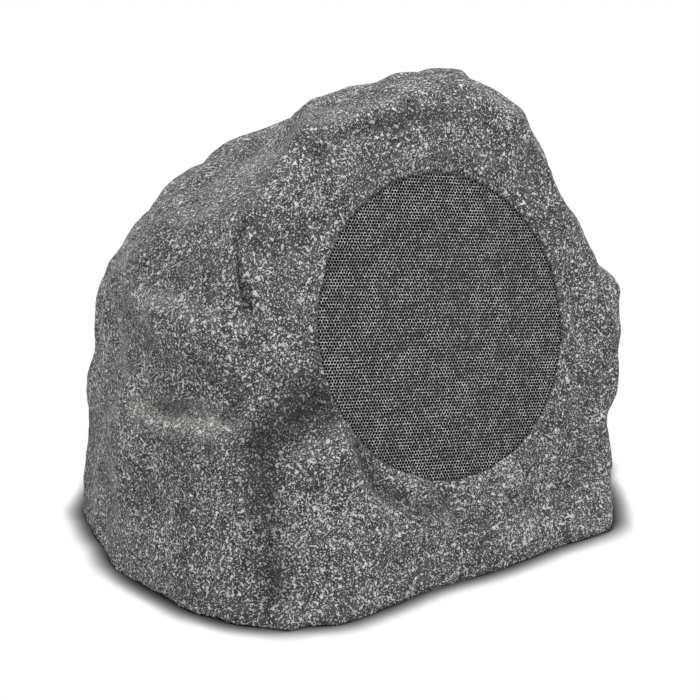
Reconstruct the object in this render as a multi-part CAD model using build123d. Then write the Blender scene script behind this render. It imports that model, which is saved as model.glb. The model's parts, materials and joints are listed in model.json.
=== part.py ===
from build123d import *
import os
from math import acos, cos, pi, radians, sin

# Rock-shaped garden speaker. Millimetres, +Z up, the grille faces -Y and leans back.
# The origin is on the ground under the middle of the rock.

# Rock, overall
ROCK_WIDTH = 372.0
ROCK_DEPTH = 294.0
ROCK_HEIGHT = 296.0
FRONT_LEAN = 17.6
WALL = 6.0
MAIN_EDGE = 13.0
LEDGE_EDGE = 9.0
CREST_EDGE = 7.0
STONE_SINK = 1.5
FLAKE_DEPTH_SHARE = 0.06
FLAKE_BALL_TURN = (0, 90, 25)

# Round opening in the front
GRILLE_R = 100.0
GRILLE_SHEET = 1.0
GRILLE_SKIRT = 6.0
GRILLE_SINK = 1.0
GRILLE_GAP = 0.6
GRILLE_SEAT = 8.0
HOLE_PITCH = 26.0
HOLE_R = 8.6
HOLE_RINGS = 3
SCRIM_SHEET = 0.5
BAFFLE_DEPTH = 30.0
BAFFLE = 6.0
BOSS_WALL = 8.0

# Woofer, its radii worked in from the well behind the grille
WELL_GAP = 9.0
FLANGE_LAP = 10.5
CUTOUT_GAP = 1.0
FLANGE = 3.5
GASKET = 1.5
GASKET_BAND = 4.0
SCREW_INSET = 4.0
DRIVER_SCREWS = 4
ROLL_INSET = 15.0
ROLL_WIDTH = 10.0
ROLL_RISE = 5.5
ROLL_SHEET = 0.7
ROLL_STEPS = 4
LIP = 5.0
MOVING_GAP = 0.3
CONE_SHEET = 1.0
CONE_DEPTH = 31.0
NECK_LENGTH = 4.0
FORMER_R = 16.35
FORMER_SHEET = 0.45
WINDING = 0.85
WINDING_LENGTH = 12.0
COIL_GAP = 0.5
CAP_R = 20.0
CAP_RISE = 7.0
DOME_STEPS = 3
BASKET_WALL = 3.0
BASKET_DEPTH = 57.0
BASKET_SHOULDER = 12.0
BASKET_WINDOWS = 4
WINDOW_WIDTH = 60.0
SPIDER_R = 48.0
SPIDER_DEPTH = 41.0
SPIDER_LAND = 3.5
SPIDER_SHEET = 0.8
SPIDER_WAVE = 2.0
SPIDER_WAVES = 2
PLATE_R = 40.0
PLATE = 5.0
MAGNET_R = 43.0
MAGNET_BORE_R = 24.0
MAGNET = 14.0
YOKE = 6.0
VENT_R = 4.0

# Tweeter on its bridge
BRIDGE_WIDTH = 14.0
BRIDGE_BAR = 4.0
BRIDGE_RISE = 16.0
BRIDGE_RING_R = 24.0
TWEETER_R = 19.0
TWEETER_DEPTH = 18.0
TWEETER_RIM_R = 23.5
TWEETER_RIM = 1.5
DOME_R = 10.0
DOME_RISE = 4.0
DOME_SHEET = 0.5

# Screws: radius and height of the head, radius of the shank
HEAD_R = 3.8
HEAD = 2.4
SHANK_R = 1.9
SCREW_GAP = 0.1
SCREW_BITE = 10.0

# Base
RIM = 14.0
SEAT = 16.0
PLATE_RECESS = 2.5
BASE_PLATE = 4.0
BASE_GASKET = 1.5
BASE_FLANGE = 9.0
BASE_GAP = 0.5
BASE_SCREWS = 6
FIRST_SCREW = 25.0
RIB = 3.0
RIB_HEIGHT = 4.0

# Crossover on the base plate
BOARD_LENGTH = 110.0
BOARD_WIDTH = 84.0
BOARD = 1.6
BOARD_Y = 20.0
PARTS_SHIFT = 8.0
POST_R = 4.0
POST_HEIGHT = 8.0
POST_INSET = 6.0
BOARD_HEAD_R = 3.0
BOARD_HEAD = 2.0
BOARD_SHANK_R = 1.3
CAPACITOR_R = 8.0
CAPACITOR_LENGTH = 32.0
COIL_R = 14.0
COIL_BORE_R = 6.0
COIL_HEIGHT = 14.0
RESISTOR_LENGTH = 22.0
RESISTOR_SIDE = 9.0
TERMINAL_LENGTH = 24.0
TERMINAL_WIDTH = 12.0
TERMINAL_HEIGHT = 11.0
PART_SPACING = 4.0

# Driver lead, a flat twin
LEAD_WIDTH = 5.0
LEAD = 2.4
LEAD_BEND_SHARE = 0.3
TAG_STRIP = 2.0
TAG_LENGTH = 20.0
TAG_WIDTH = 10.0

# Cable gland, low in the back
GLAND_X = 60.0
GLAND_Z = 36.0
GLAND_RECESS = 22.0
GLAND_POCKET_R = 17.0
GLAND_WALL = 8.0
GLAND_THREAD_R = 8.0
GLAND_HEX_R = 12.5
GLAND_HEX = 5.0
GLAND_NECK_R = 7.5
GLAND_NECK = 7.0
GLAND_BORE_R = 5.5
GLAND_WASHER = 1.2
GLAND_NUT = 5.0
GLAND_CAP_R = 10.5
GLAND_CAP = 14.0
GLAND_MOUTH_R = 4.0
CABLE_R = 3.25
SEAL_LENGTH = 14.0
FIT_GAP = 0.1

# Facets of the rock: the way each one faces (degrees round from the front, degrees above level)
# and a point on it, as shares of half the width, half the depth and the height
MAIN_STONE = {
    "front": (0, FRONT_LEAN, 0.06, -0.614, 0.51),
    "front_left": (-40, 14, -0.80, -0.844, 0.0),
    "left": (-80, 5, -0.96, -0.34, 0.0),
    "left_rear": (-105, 5, -0.94, 0.20, 0.0),
    "rear_left": (-132, 6, -0.82, 0.63, 0.0),
    "rear": (180, 8, 0.0, 0.96, 0.0),
    "rear_right": (135, 10, 0.72, 0.71, 0.0),
    "right": (95, 5, 0.95, 0.0, 0.132),
    "front_right": (52, 1, 0.70, -0.86, 0.071),
    "right_upper": (58, 25, 0.76, -0.54, 0.618),
    "right_shoulder": (55, 58, 0.52, -0.38, 0.922),
    "rear_left_upper": (-128, 36, -0.56, 0.63, 0.661),
    "left_upper": (-84, 42, -0.896, -0.272, 0.645),
    "plateau": (-116, 68, -0.67, -0.34, 0.811),
    "crown": (-60, 84, 0.0, 0.0, 0.946),
    "rear_upper": (180, 42, 0.0, 0.58, 0.727),
    "brow": (0, 55, 0.11, -0.32, 0.95),
    "rear_right_upper": (130, 40, 0.57, 0.53, 0.692),
}

# Stones that stand proud of the main one: edge radius, the facets they break through, their own
PROUD_STONES = {
    "cap": (CREST_EDGE, ("crown", "plateau", "brow", "right_shoulder"), (
        (0, 84, 0.27, -0.07, 0.998),
        (-128, 48, -0.11, -0.11, 0.96),
        (-112, 76, 0.05, -0.07, 0.983),
        (56, 42, 0.45, -0.29, 0.943),
        (0, 40, 0.11, -0.32, 0.95),
        (178, 58, 0.22, 0.07, 0.976),
    )),
    "knob": (CREST_EDGE, ("crown", "plateau", "brow"), (
        (0, 86, -0.22, -0.07, 0.97),
        (-128, 34, -0.20, 0.03, 0.932),
        (-50, 40, -0.39, -0.27, 0.925),
        (60, 45, -0.08, -0.14, 0.97),
        (0, 42, -0.27, -0.31, 0.95),
        (180, 38, -0.22, 0.14, 0.925),
    )),
    "bump": (LEDGE_EDGE, ("front_right", "right", "right_upper"), (
        (52, -4, 0.85, -0.71, 0.446),
        (52, 50, 0.82, -0.69, 0.5),
        (50, -30, 0.80, -0.78, 0.271),
        (100, 0, 0.97, -0.14, 0.405),
    )),
    "foot": (LEDGE_EDGE, ("front",), (
        (0, 15, 0.0, -1.0, 0.0),
        (6, 38, 0.0, -0.95, 0.091),
    )),
    "bulge": (LEDGE_EDGE, ("front", "front_left"), (
        (-16, 9, -0.58, -0.82, 0.21),
        (-8, 44, -0.58, -0.72, 0.358),
        (38, 24, -0.355, -0.80, 0.23),
        (-50, 10, -0.80, -0.78, 0.169),
    )),
    "hip": (LEDGE_EDGE, ("front_left", "left", "left_rear"), (
        (-62, 8, -0.92, -0.61, 0.033),
        (-84, 4, -0.98, -0.26, 0.0),
        (-108, 4, -0.955, 0.19, 0.0),
        (-72, 38, -0.92, -0.395, 0.378),
        (-130, 30, -0.90, 0.34, 0.271),
    )),
    "shoulder": (CREST_EDGE, ("left", "front_left", "left_upper"), (
        (-70, 10, -0.92, -0.34, 0.54),
        (-78, 44, -0.89, -0.31, 0.649),
        (-68, -24, -0.91, -0.34, 0.527),
        (-24, 17, -0.76, -0.565, 0.642),
        (-125, 25, -0.83, 0.27, 0.608),
        (-50, 60, -0.69, -0.41, 0.804),
    )),
    "back_ledge": (LEDGE_EDGE, ("rear", "rear_left"), (
        (180, 5, 0.0, 1.0, 0.0),
        (174, 46, 0.0, 0.94, 0.311),
        (-140, 6, -0.75, 0.75, 0.0),
    )),
    "back_lump": (LEDGE_EDGE, ("rear_upper", "rear"), (
        (168, 22, 0.11, 0.83, 0.575),
        (176, 50, 0.05, 0.65, 0.75),
        (176, -30, 0.05, 0.87, 0.473),
        (-150, 30, -0.32, 0.75, 0.608),
    )),
}

# Shallow round flakes broken out of the facets: the facet, the way across it and up it as shares
# of the rock's width and height, and the flake's width
FLAKES = (
    (MAIN_STONE["front"], -0.35, -0.05, 44.0),
    (MAIN_STONE["front"], -0.33, 0.27, 50.0),
    (MAIN_STONE["front"], 0.26, 0.26, 40.0),
    (MAIN_STONE["front"], 0.29, -0.25, 40.0),
    (MAIN_STONE["right_upper"], 0.08, 0.10, 44.0),
    (MAIN_STONE["front_right"], 0.11, 0.06, 36.0),
    (MAIN_STONE["right"], 0.04, 0.02, 40.0),
    (MAIN_STONE["rear_right"], 0.04, 0.23, 54.0),
    (MAIN_STONE["rear_right"], -0.08, 0.37, 52.0),
    (MAIN_STONE["rear_right_upper"], -0.12, 0.13, 54.0),
    (MAIN_STONE["rear_left"], -0.11, 0.41, 40.0),
    (MAIN_STONE["rear_left_upper"], 0.10, 0.01, 48.0),
    (MAIN_STONE["left_rear"], -0.03, 0.49, 50.0),
    (MAIN_STONE["plateau"], -0.22, -0.01, 48.0),
    (PROUD_STONES["bump"][2][3], 0.08, -0.09, 54.0),
    (PROUD_STONES["hip"][2][1], -0.01, 0.21, 54.0),
    (PROUD_STONES["hip"][2][2], -0.02, 0.18, 54.0),
    (PROUD_STONES["back_ledge"][2][0], 0.18, 0.18, 54.0),
    (PROUD_STONES["back_ledge"][2][2], 0.0, 0.23, 44.0),
    (PROUD_STONES["back_lump"][2][1], -0.03, 0.10, 54.0),
)


def facing(azimuth, elevation):
    """Unit direction: azimuth round from the front (-Y) to +X, elevation above level."""
    turn = radians(azimuth)
    rise = radians(elevation)
    return Vector(sin(turn) * cos(rise), -cos(turn) * cos(rise), sin(rise))


def in_rock(x, y, z):
    """Point from shares of half the width, half the depth and the height."""
    return Vector(x * ROCK_WIDTH / 2, y * ROCK_DEPTH / 2, z * ROCK_HEIGHT)


def cut_to(body, facets, depth):
    """Keep what lies behind each facet pushed in by depth."""
    for azimuth, elevation, x, y, z in facets:
        out = facing(azimuth, elevation)
        face = Plane(origin=in_rock(x, y, z) - out * depth, z_dir=out)
        body = split(body, bisect_by=face, keep=Keep.BOTTOM)
    return body


def block():
    """Plain block that every stone is cut from."""
    return Pos(0, 0, ROCK_HEIGHT / 2) * Box(2 * ROCK_WIDTH, 2 * ROCK_DEPTH, 2 * ROCK_HEIGHT)


def main_stone(inset):
    """The main stone with sharp edges, each facet moved in."""
    return cut_to(block(), MAIN_STONE.values(), inset)


def proud_stone(edge, broken, facets):
    """A stone that breaks through some facets of the main one and hides behind the rest."""
    hidden = [facet for name, facet in MAIN_STONE.items() if name not in broken]
    core = cut_to(block(), hidden, edge + STONE_SINK)
    core = cut_to(core, facets, edge)
    return offset(core, amount=edge, kind=Kind.ARC)


def flake(facet, across, up, width):
    """Large ball that takes a shallow round flake off a facet, its poles turned away from it."""
    azimuth, elevation, x, y, z = facet
    out = facing(azimuth, elevation)
    face = Plane(origin=in_rock(x, y, z), x_dir=facing(azimuth + 90, 0), z_dir=out)
    depth = FLAKE_DEPTH_SHARE * width
    ball = (width**2 / 4 + depth**2) / (2 * depth)
    place = Pos(across * ROCK_WIDTH, up * ROCK_HEIGHT, ball - depth)
    return face * (place * Sphere(ball, rotation=FLAKE_BALL_TURN))


def above(height):
    """Everything from a height up."""
    tall = 2 * ROCK_HEIGHT
    return Pos(0, 0, height + tall / 2) * Box(2 * ROCK_WIDTH, 2 * ROCK_DEPTH, tall)


def disc(radius, low, high):
    """Cylinder about local Z between two heights."""
    return Pos(0, 0, (low + high) / 2) * Cylinder(radius, high - low)


def ring(outer, inner, low, high):
    """Tube about local Z between two heights."""
    return disc(outer, low, high) - disc(inner, low, high)


def turned(*corners):
    """Solid turned about local Z from (radius, height) corners."""
    outline = Polyline(*[(radius, 0, height) for radius, height in corners], close=True)
    return revolve(make_face(outline), axis=Axis.Z)


def dome_line(ball, centre, low):
    """Corners along a dome's section, from its rim at a height up to the axis."""
    half = acos((low - centre) / ball)
    turns = [half * (1 - i / DOME_STEPS) for i in range(DOME_STEPS + 1)]
    return [(ball * sin(turn), centre + ball * cos(turn)) for turn in turns]


def shell_cap(radius, rise, sheet, low):
    """Thin dome on a round base."""
    ball = (radius**2 + rise**2) / (2 * rise)
    centre = low + rise - ball
    inner = dome_line(ball - sheet, centre, low)
    return turned(*dome_line(ball, centre, low), *reversed(inner))


def screw(head_r, head, shank_r, length):
    """Pan-head screw, its head standing on local Z zero."""
    return disc(head_r, 0, head) + disc(shank_r, -length, 0)


def around(count, radius, shape, start=0.0):
    """Copies of a shape on a circle."""
    return [place * shape for place in PolarLocations(radius, count, start)]


# Frames: the grille's front face, the woofer's flange and the gland's seat
FRONT_OUT = facing(0, FRONT_LEAN)
GRILLE_CENTRE = in_rock(*MAIN_STONE["front"][2:]) - FRONT_OUT * GRILLE_SINK
FRONT = Plane(origin=GRILLE_CENTRE, x_dir=(1, 0, 0), z_dir=FRONT_OUT)
FLANGE_FRONT = GASKET + FLANGE - BAFFLE_DEPTH
DRIVER = FRONT.offset(FLANGE_FRONT)
REAR_OUT = facing(*MAIN_STONE["rear"][:2])
REAR_POINT = in_rock(*MAIN_STONE["rear"][2:])
GLAND_SEAT_Y = REAR_POINT.Y - (GLAND_Z - REAR_POINT.Z) * REAR_OUT.Z / REAR_OUT.Y - GLAND_RECESS
GLAND = Plane(origin=(GLAND_X, GLAND_SEAT_Y, GLAND_Z), x_dir=(1, 0, 0), z_dir=(0, 1, 0))

# Heights of the base
GASKET_LOW = PLATE_RECESS + BASE_PLATE
BASE_SEAT_Z = GASKET_LOW + BASE_GASKET
FLANGE_TOP = BASE_SEAT_Z + BASE_FLANGE
BOARD_LOW = GASKET_LOW + POST_HEIGHT
BOARD_TOP = BOARD_LOW + BOARD

# Radii and heights of the woofer, from the front of its flange
FAR = ROCK_DEPTH
WELL_R = GRILLE_R - GRILLE_SEAT
FLANGE_R = WELL_R - WELL_GAP
CUTOUT_R = FLANGE_R - FLANGE_LAP
SCREW_CIRCLE_R = FLANGE_R - SCREW_INSET
ROLL_OUTER_R = FLANGE_R - ROLL_INSET
ROLL_INNER_R = ROLL_OUTER_R - ROLL_WIDTH
BASKET_R = CUTOUT_R - CUTOUT_GAP
NECK_R = FORMER_R + FIT_GAP / 2
CONE_LIP_FRONT = -MOVING_GAP
CONE_LIP_BACK = CONE_LIP_FRONT - CONE_SHEET
NECK_Z = CONE_LIP_FRONT - CONE_DEPTH
COIL_OUTER_R = FORMER_R + WINDING
POLE_R = FORMER_R - FORMER_SHEET - COIL_GAP
GAP_R = COIL_OUTER_R + COIL_GAP
PLATE_Z = -BASKET_DEPTH
MAGNET_Z = PLATE_Z - PLATE
YOKE_Z = MAGNET_Z - MAGNET


def footprint(inset):
    """Outline of the main stone on the ground, moved in."""
    return section(main_stone(inset), section_by=Plane.XY).face()


def on_footprint(azimuth, inset):
    """Place on the ground where a direction from the origin meets the inset outline."""
    way = facing(azimuth, 0)
    reach = []
    for turn, rise, x, y, z in MAIN_STONE.values():
        out = facing(turn, rise)
        if out.dot(way) > 0:
            reach.append((out.dot(in_rock(x, y, z)) - inset) / out.dot(way))
    return Pos(way * min(reach))


def base_screw_places():
    """Places of the base screws, along the middle of the seat."""
    turns = [FIRST_SCREW + i * 360 / BASE_SCREWS for i in range(BASE_SCREWS)]
    return [on_footprint(turn, RIM + SEAT / 2) for turn in turns]


def driver_screw_places():
    """Places of the woofer's screws on its flange."""
    return list(PolarLocations(SCREW_CIRCLE_R, DRIVER_SCREWS, 180 / DRIVER_SCREWS))


def bridge_screw_places():
    """Places of the two screws that hold the tweeter bridge."""
    return list(PolarLocations(SCREW_CIRCLE_R, 2))


def screw_holes(places, low, high):
    """Plain holes for screws, run past both faces."""
    return [place * disc(SHANK_R + SCREW_GAP, low - HEAD, high + HEAD) for place in places]


def rock_outside():
    """All stones as one body standing on the ground."""
    body = offset(main_stone(MAIN_EDGE), amount=MAIN_EDGE, kind=Kind.ARC)
    for stone in PROUD_STONES.values():
        body += proud_stone(*stone)
    body = body & above(0)
    for place in FLAKES:
        body -= flake(*place)
    return body


def rock_hollow():
    """Inside of the rock, less the bosses round the front opening and the gland."""
    hollow = main_stone(WALL) & above(FLANGE_TOP)
    hollow -= FRONT * disc(GRILLE_R + GRILLE_GAP + BOSS_WALL, -BAFFLE_DEPTH - BAFFLE, FAR)
    return hollow - GLAND * disc(GLAND_POCKET_R + WALL, -GLAND_WALL, FAR)


def front_opening():
    """Stepped recess for the grille and the woofer, with the screw holes of the baffle."""
    places = driver_screw_places() + bridge_screw_places()
    back = -BAFFLE_DEPTH - BAFFLE
    recess = disc(GRILLE_R + GRILLE_GAP, -GRILLE_SKIRT, FAR)
    well = disc(WELL_R, -BAFFLE_DEPTH, 0)
    cutout = disc(CUTOUT_R, back - BAFFLE, 0)
    return FRONT * (recess + well + cutout + screw_holes(places, back, 0))


def base_opening():
    """Pocket for the base plate, the way into the rock and the screw holes of the seat."""
    pocket = extrude(footprint(RIM), BASE_SEAT_Z)
    mouth = extrude(footprint(RIM + SEAT), FLANGE_TOP)
    return pocket + mouth + screw_holes(base_screw_places(), 0, FLANGE_TOP)


def gland_opening():
    """Round pocket for the gland and the hole for its thread."""
    pocket = disc(GLAND_POCKET_R, 0, FAR)
    return GLAND * (pocket + disc(GLAND_THREAD_R + FIT_GAP, -2 * GLAND_WALL, 0))


def rock_shell():
    """Moulded rock with its hollow and its openings."""
    return rock_outside() - rock_hollow() - front_opening() - base_opening() - gland_opening()


def grille():
    """Perforated disc with a folded skirt, its holes fewer and larger than the fine mesh."""
    sheet = disc(GRILLE_R, -GRILLE_SKIRT, 0)
    sheet -= disc(GRILLE_R - GRILLE_SHEET, -GRILLE_SKIRT, -GRILLE_SHEET)
    across = 2 * HOLE_RINGS + 1
    cell = HOLE_PITCH / 2
    reach = (HOLE_RINGS + 0.5) * HOLE_PITCH
    places = [p for p in HexLocations(cell, across, across) if p.position.length < reach]
    hole = extrude(RegularPolygon(HOLE_R, 6), -2 * GRILLE_SHEET)
    return FRONT * (sheet - [place * hole for place in places])


def grille_scrim():
    """Thin dust cloth glued behind the grille."""
    return FRONT * disc(GRILLE_R - 2 * GRILLE_SHEET, -GRILLE_SHEET - SCRIM_SHEET, -GRILLE_SHEET)


def driver_gasket():
    """Foam ring between the baffle and the woofer's flange, inside its screws."""
    return DRIVER * ring(CUTOUT_R + GASKET_BAND, CUTOUT_R, -FLANGE - GASKET, -FLANGE)


def driver_basket():
    """Cast frame of the woofer with windows between its legs."""
    land_r = SPIDER_R - SPIDER_LAND
    floor = -BASKET_DEPTH
    body = turned(
        (ROLL_OUTER_R, 0),
        (FLANGE_R, 0),
        (FLANGE_R, -FLANGE),
        (BASKET_R, -FLANGE),
        (BASKET_R, -BASKET_SHOULDER),
        (SPIDER_R + BASKET_WALL, -SPIDER_DEPTH),
        (land_r + BASKET_WALL, -SPIDER_DEPTH - SPIDER_LAND),
        (land_r + BASKET_WALL, floor),
        (GAP_R + BASKET_WALL, floor),
        (GAP_R + BASKET_WALL, floor + BASKET_WALL),
        (land_r, floor + BASKET_WALL),
        (land_r, -SPIDER_DEPTH),
        (SPIDER_R + FIT_GAP, -SPIDER_DEPTH),
        (SPIDER_R + FIT_GAP, -SPIDER_DEPTH + BASKET_WALL),
        (ROLL_OUTER_R, -BASKET_SHOULDER),
    )
    window_high = -BASKET_SHOULDER - BASKET_WALL
    window_low = -SPIDER_DEPTH + 2 * BASKET_WALL
    window = Pos(0, 0, (window_high + window_low) / 2) * Box(
        BASKET_R, WINDOW_WIDTH, window_high - window_low
    )
    places = driver_screw_places() + bridge_screw_places()
    body -= around(BASKET_WINDOWS, BASKET_R, window)
    return DRIVER * (body - screw_holes(places, -FLANGE, 0))


def roll_line(half, rise, low):
    """Corners along the surround's roll, from its outer foot over to its inner one."""
    middle = ROLL_OUTER_R - ROLL_WIDTH / 2
    turns = [pi * i / ROLL_STEPS for i in range(ROLL_STEPS + 1)]
    return [(middle + half * cos(turn), low + rise * sin(turn)) for turn in turns]


def surround():
    """Half-roll edge between the flange and the cone."""
    half = ROLL_WIDTH / 2
    outer_r = ROLL_OUTER_R + LIP
    inner_r = ROLL_INNER_R - LIP
    over = roll_line(half, ROLL_RISE, ROLL_SHEET)
    under = roll_line(half - ROLL_SHEET, ROLL_RISE, 0)
    return DRIVER * turned(
        (outer_r, 0),
        (outer_r, ROLL_SHEET),
        *over,
        (inner_r, ROLL_SHEET),
        (inner_r, 0),
        *reversed(under),
    )


def cone():
    """Paper cone with a flat lip under the surround and a neck on the coil's former."""
    lip_r = ROLL_INNER_R - LIP
    return DRIVER * turned(
        (lip_r, CONE_LIP_FRONT),
        (ROLL_INNER_R, CONE_LIP_FRONT),
        (ROLL_INNER_R, CONE_LIP_BACK),
        (lip_r + CONE_SHEET, CONE_LIP_BACK),
        (NECK_R + CONE_SHEET, NECK_Z - CONE_SHEET),
        (NECK_R + CONE_SHEET, NECK_Z - NECK_LENGTH),
        (NECK_R, NECK_Z - NECK_LENGTH),
        (NECK_R, NECK_Z),
    )


def dust_cap():
    """Dome glued over the middle of the cone."""
    lip_r = ROLL_INNER_R - LIP
    share = (CAP_R - NECK_R) / (lip_r - NECK_R)
    low = NECK_Z + share * CONE_DEPTH
    return DRIVER * shell_cap(CAP_R - FIT_GAP, CAP_RISE, CONE_SHEET, low)


def voice_coil():
    """Former tube with its winding at the back end."""
    low = PLATE_Z - PLATE / 2 - WINDING_LENGTH / 2
    former = ring(FORMER_R, FORMER_R - FORMER_SHEET, low, NECK_Z)
    winding = ring(COIL_OUTER_R, FORMER_R - FORMER_SHEET, low, low + WINDING_LENGTH)
    return DRIVER * (former + winding)


def spider():
    """Waved cloth disc that centres the coil."""
    inner = FORMER_R + MOVING_GAP
    flat = SPIDER_R - SPIDER_LAND
    step = (flat - inner) / (2 * SPIDER_WAVES)
    crest = [(i % 2) * SPIDER_WAVE for i in range(2 * SPIDER_WAVES + 1)]
    line = [(inner + i * step, -SPIDER_DEPTH + crest[i]) for i in range(2 * SPIDER_WAVES + 1)]
    line.append((SPIDER_R, -SPIDER_DEPTH))
    upper = [(radius, height + SPIDER_SHEET) for radius, height in reversed(line)]
    return DRIVER * turned(*line, *upper)


def front_plate():
    """Steel ring in front of the magnet."""
    return DRIVER * ring(PLATE_R, GAP_R, MAGNET_Z, PLATE_Z)


def magnet():
    """Ferrite ring."""
    return DRIVER * ring(MAGNET_R, MAGNET_BORE_R, YOKE_Z, MAGNET_Z)


def pole_yoke():
    """Back plate with the vented pole."""
    body = disc(PLATE_R, YOKE_Z - YOKE, YOKE_Z) + disc(POLE_R, YOKE_Z, PLATE_Z)
    return DRIVER * (body - disc(VENT_R, YOKE_Z - YOKE, PLATE_Z))


def tweeter_bridge():
    """Moulded bar over the cone, on two feet, with a ring for the tweeter."""
    foot_r = ROLL_OUTER_R + LIP + CUTOUT_GAP
    bar_low = BRIDGE_RISE - BRIDGE_BAR
    bar = Pos(0, 0, BRIDGE_RISE / 2) * Box(2 * FLANGE_R, BRIDGE_WIDTH, BRIDGE_RISE)
    body = (bar & disc(FLANGE_R, 0, BRIDGE_RISE)) - disc(foot_r, 0, bar_low)
    body += disc(BRIDGE_RING_R, bar_low, BRIDGE_RISE)
    body -= disc(TWEETER_R + FIT_GAP, 0, BRIDGE_RISE)
    return DRIVER * (body - screw_holes(bridge_screw_places(), 0, BRIDGE_RISE))


def tweeter_body():
    """Magnet cup of the tweeter with its rim on the bridge."""
    top = BRIDGE_RISE + TWEETER_RIM
    body = disc(TWEETER_R, BRIDGE_RISE - TWEETER_DEPTH, top)
    return DRIVER * (body + disc(TWEETER_RIM_R, BRIDGE_RISE, top))


def tweeter_dome():
    """Silk dome of the tweeter."""
    low = BRIDGE_RISE + TWEETER_RIM
    return DRIVER * shell_cap(DOME_R, DOME_RISE, DOME_SHEET, low)


def driver_screws():
    """Screws of the woofer's flange."""
    one = screw(HEAD_R, HEAD, SHANK_R, FLANGE + GASKET + SCREW_BITE)
    return DRIVER * Compound(children=[place * one for place in driver_screw_places()])


def bridge_screws():
    """Long screws through the feet of the tweeter bridge."""
    one = Pos(0, 0, BRIDGE_RISE) * screw(
        HEAD_R, HEAD, SHANK_R, BRIDGE_RISE + FLANGE + GASKET + SCREW_BITE
    )
    return DRIVER * Compound(children=[place * one for place in bridge_screw_places()])


def board_corners():
    """Places of the board's four posts."""
    across = BOARD_LENGTH - 2 * POST_INSET
    along = BOARD_WIDTH - 2 * POST_INSET
    return [Pos(0, BOARD_Y, 0) * place for place in GridLocations(across, along, 2, 2)]


def base_plate():
    """Plate that closes the rock from below, ribbed, with posts for the board."""
    plate = Pos(0, 0, PLATE_RECESS) * extrude(footprint(RIM + BASE_GAP), BASE_PLATE)
    inside = Pos(0, 0, GASKET_LOW) * extrude(footprint(RIM + SEAT + RIB), RIB_HEIGHT)
    cross = Box(2 * ROCK_WIDTH, RIB, RIB_HEIGHT) + Box(RIB, 2 * ROCK_DEPTH, RIB_HEIGHT)
    edge = inside - Pos(0, 0, GASKET_LOW) * extrude(footprint(RIM + SEAT + 2 * RIB), RIB_HEIGHT)
    ribs = edge + (inside & Pos(0, BOARD_Y, GASKET_LOW + RIB_HEIGHT / 2) * cross)
    post = disc(POST_R, GASKET_LOW, BOARD_LOW) - disc(BOARD_SHANK_R + SCREW_GAP, GASKET_LOW, BOARD_LOW)
    body = plate + ribs + [place * post for place in board_corners()]
    return body - screw_holes(base_screw_places(), PLATE_RECESS, GASKET_LOW)


def base_gasket():
    """Flat seal between the base plate and its seat, inside the screws."""
    band = extrude(footprint(RIM + SEAT - GASKET_BAND), BASE_GASKET)
    band -= extrude(footprint(RIM + SEAT), BASE_GASKET)
    return Pos(0, 0, GASKET_LOW) * band


def base_screws():
    """Screws of the base plate, heads below, clear of the ground."""
    head = PLATE_RECESS - HEAD
    one = disc(HEAD_R, head, PLATE_RECESS) + disc(SHANK_R, PLATE_RECESS, BASE_SEAT_Z + SCREW_BITE / 2)
    return Compound(children=[place * one for place in base_screw_places()])


def crossover_board():
    """Circuit board on the posts of the base plate."""
    body = Pos(0, BOARD_Y, (BOARD_LOW + BOARD_TOP) / 2) * Box(BOARD_LENGTH, BOARD_WIDTH, BOARD)
    holes = [place * disc(BOARD_SHANK_R + SCREW_GAP, BOARD_LOW, BOARD_TOP) for place in board_corners()]
    return body - holes


def board_screws():
    """Small screws of the board."""
    one = Pos(0, 0, BOARD_TOP) * screw(BOARD_HEAD_R, BOARD_HEAD, BOARD_SHANK_R, BOARD + POST_HEIGHT / 2)
    return Compound(children=[place * one for place in board_corners()])


def capacitors():
    """Two film capacitors lying on the board."""
    one = Rot(0, 90, 0) * Cylinder(CAPACITOR_R, CAPACITOR_LENGTH)
    x = -BOARD_LENGTH / 2 + 2 * POST_INSET + CAPACITOR_LENGTH / 2
    step = CAPACITOR_R + PART_SPACING / 2
    height = BOARD_TOP + CAPACITOR_R
    y = BOARD_Y + PARTS_SHIFT
    return Compound(children=[Pos(x, y + side * step, height) * one for side in (-1, 1)])


def inductors():
    """Two air-cored coils standing on the board."""
    one = ring(COIL_R, COIL_BORE_R, BOARD_TOP, BOARD_TOP + COIL_HEIGHT)
    x = BOARD_LENGTH / 2 - 2 * POST_INSET - COIL_R
    step = COIL_R + PART_SPACING / 4
    y = BOARD_Y + PARTS_SHIFT
    return Compound(children=[Pos(x, y + side * step, 0) * one for side in (-1, 1)])


def resistor():
    """Cement resistor between the capacitors and the edge of the board."""
    x = -BOARD_LENGTH / 2 + 2 * POST_INSET + CAPACITOR_LENGTH / 2
    y = BOARD_Y + PARTS_SHIFT - 2 * CAPACITOR_R - PART_SPACING - RESISTOR_SIDE / 2
    place = Pos(x, y, BOARD_TOP + RESISTOR_SIDE / 2)
    return place * Box(RESISTOR_LENGTH, RESISTOR_SIDE, RESISTOR_SIDE)


def terminal_place():
    """Middle of the terminal block's foot, on the front edge of the board."""
    return Vector(GRILLE_CENTRE.X, BOARD_Y - BOARD_WIDTH / 2 + TERMINAL_WIDTH, BOARD_TOP)


def terminal_block():
    """Terminals for the cable and the woofer's lead, with a slot for the lead."""
    foot = terminal_place()
    place = Pos(foot.X, foot.Y, foot.Z + TERMINAL_HEIGHT / 2)
    body = Box(TERMINAL_LENGTH, TERMINAL_WIDTH, TERMINAL_HEIGHT)
    slot = Box(LEAD_WIDTH + 2 * FIT_GAP, LEAD + 2 * FIT_GAP, TERMINAL_HEIGHT)
    return place * (body - Pos(0, 0, TERMINAL_HEIGHT / 2) * slot)


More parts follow.
